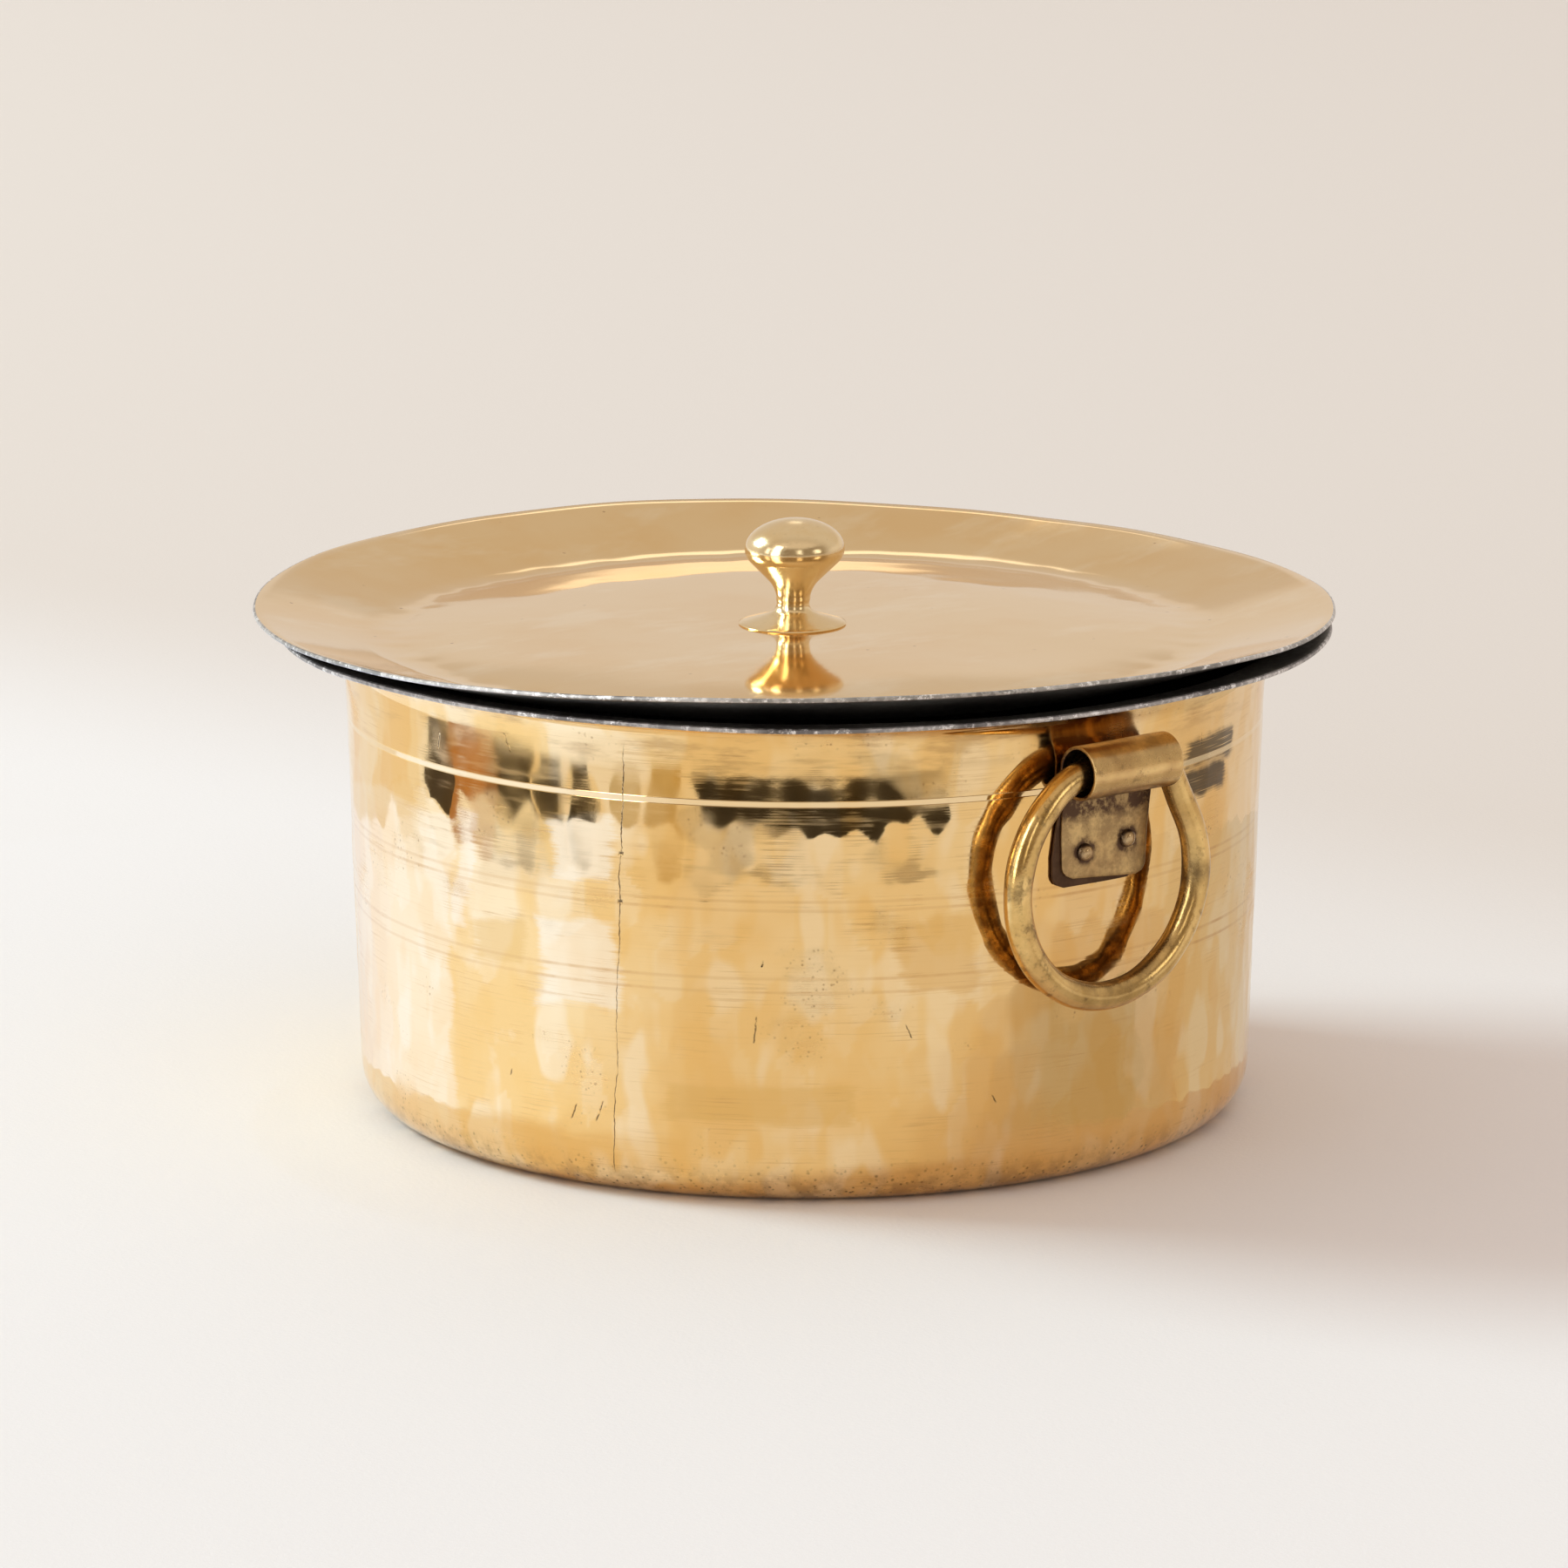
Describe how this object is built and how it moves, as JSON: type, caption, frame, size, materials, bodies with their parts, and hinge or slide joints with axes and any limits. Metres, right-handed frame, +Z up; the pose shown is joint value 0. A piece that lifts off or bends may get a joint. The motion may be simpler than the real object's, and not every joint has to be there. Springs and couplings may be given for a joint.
{
  "type": "cooking pot",
  "caption": "Low round cooking pot of hammered brass with a loose knobbed lid and ring handles hanging in riveted lugs.",
  "frame": {"origin": "centre of the flat underside of the pot", "axes": "+Z up out of the mouth, ring handles on +X and -X"},
  "size_m": [0.3047, 0.3047, 0.1648],
  "materials": {
    "hammered_brass": "hammered facets, satin polish, fine turned scratches; tinned inside and on the rim edge",
    "lid_brass": "soft polish with faint scratches",
    "knob_brass": "polished casting",
    "ring_brass": "aged satin, olive tone",
    "lug_brass": "tarnished brown, satin",
    "rivet_brass": "tarnished, hammered over",
    "screw_steel": "plain bright steel"
  },
  "bodies": {
    "pot": {"pot_body": "hammered_brass", "lug_right": "lug_brass", "lug_left": "lug_brass", "rivet_right_front": "rivet_brass", "rivet_right_back": "rivet_brass", "rivet_left_front": "rivet_brass", "rivet_left_back": "rivet_brass"},
    "lid": {"lid_plate": "lid_brass", "lid_knob": "knob_brass", "knob_washer": "knob_brass", "knob_screw": "screw_steel"},
    "right_ring": {"ring_right": "ring_brass"},
    "left_ring": {"ring_left": "ring_brass"}
  },
  "joints": [
    {"name": "lid_lift", "type": "slide", "parent": "pot", "child": "lid", "axis": [0, 0, 1], "range_m": [0, 0.12]},
    {"name": "right_ring_swing", "type": "hinge", "parent": "pot", "child": "right_ring", "pos_m": [0.13702, 0, 0.11837], "axis": [0, -1, 0], "range_deg": [-4.5, 135]},
    {"name": "left_ring_swing", "type": "hinge", "parent": "pot", "child": "left_ring", "pos_m": [-0.13702, 0, 0.11837], "axis": [0, 1, 0], "range_deg": [-4.5, 135]}
  ]
}
